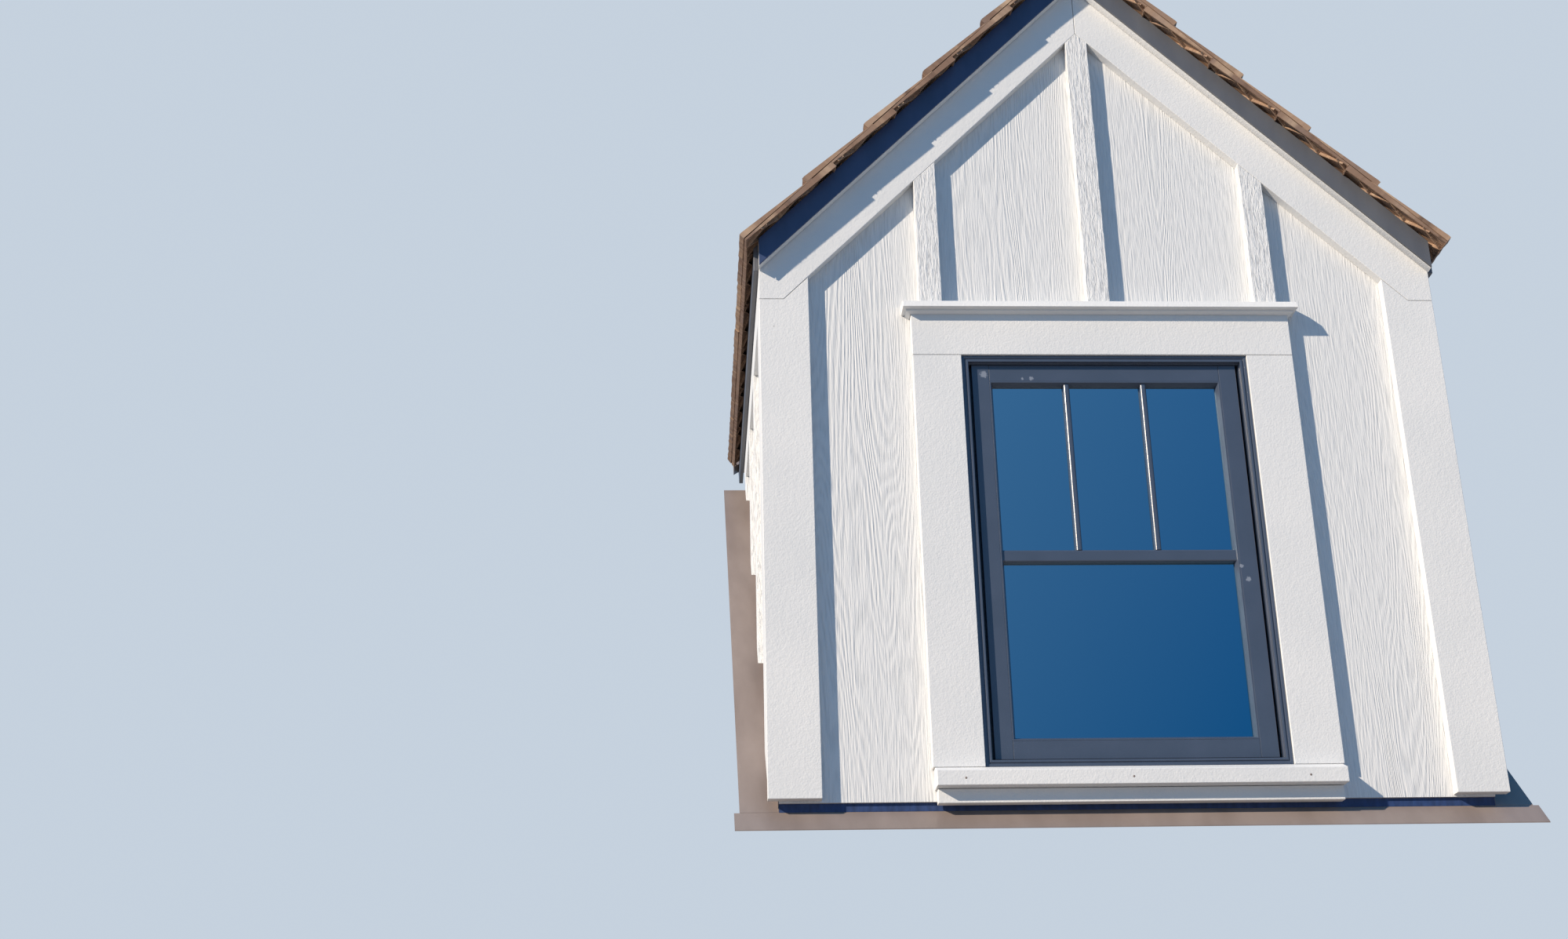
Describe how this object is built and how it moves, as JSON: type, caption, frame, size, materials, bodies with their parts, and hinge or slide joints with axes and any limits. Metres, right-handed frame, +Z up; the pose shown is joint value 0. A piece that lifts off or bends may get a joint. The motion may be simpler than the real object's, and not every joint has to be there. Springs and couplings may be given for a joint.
{
  "type": "dormer window",
  "caption": "Gabled dormer with white board and batten cladding, a dark sash window, shake roof, metal flashings and an open back that sits on a sloping roof.",
  "frame": {"origin": "middle of the sloping foot of the front wall, where the sole plate lies on the main roof's boarding", "axes": "+Z up, -Y out of the window toward the street, +Y up the main roof, X across the dormer with x = 0 on its centre line"},
  "size_m": [2.082, 2.873, 2.7779],
  "materials": {
    "framing_lumber": "sawn softwood",
    "roof_boarding": "plywood, unfinished",
    "wall_lining": "framed wall with a flat painted lining",
    "siding_panel": "white paint over an embossed grain",
    "rough_batten": "white paint over a rough-sawn face",
    "white_trim": "white paint over a finely stippled face",
    "dark_window_paint": "satin dark bronze-gray",
    "window_glass": "clear sealed unit with a blue reflection",
    "gray_fascia": "matt dark gray",
    "composite_shake": "weathered brown with moulded grain",
    "flashing_metal": "satin brown-gray"
  },
  "bodies": {
    "root": {"sole_plate": "framing_lumber", "front_wall_left": "wall_lining", "front_wall_right": "wall_lining", "front_wall_below": "wall_lining", "front_gable_wall": "wall_lining", "cheek_wall_left": "wall_lining", "cheek_wall_right": "wall_lining", "ridge_board": "framing_lumber", "rafters": "framing_lumber", "roof_deck_left": "roof_boarding", "roof_deck_right": "roof_boarding", "siding_left": "siding_panel", "siding_right": "siding_panel", "siding_below": "siding_panel", "siding_above": "siding_panel", "corner_board_left": "white_trim", "corner_board_right": "white_trim", "side_corner_boards": "white_trim", "rake_frieze_left": "white_trim", "rake_frieze_right": "white_trim", "gable_battens": "rough_batten", "cheek_siding_left": "siding_panel", "cheek_siding_right": "siding_panel", "cheek_friezes": "white_trim", "cheek_battens": "rough_batten", "casing_left": "white_trim", "casing_right": "white_trim", "casing_head": "white_trim", "head_cap": "white_trim", "window_sill": "white_trim", "window_apron": "white_trim", "window_frame": "dark_window_paint", "window_sash": "dark_window_paint", "window_glass": "window_glass", "check_rail": "dark_window_paint", "rake_band_left": "gray_fascia", "rake_band_right": "gray_fascia", "eave_fascias": "gray_fascia", "roof_shakes_left": "composite_shake", "roof_shakes_right": "composite_shake", "ridge_cap": "composite_shake", "apron_flashing": "flashing_metal", "step_flashings": "flashing_metal", "valley_flashing": "flashing_metal"}
  },
  "joints": []
}
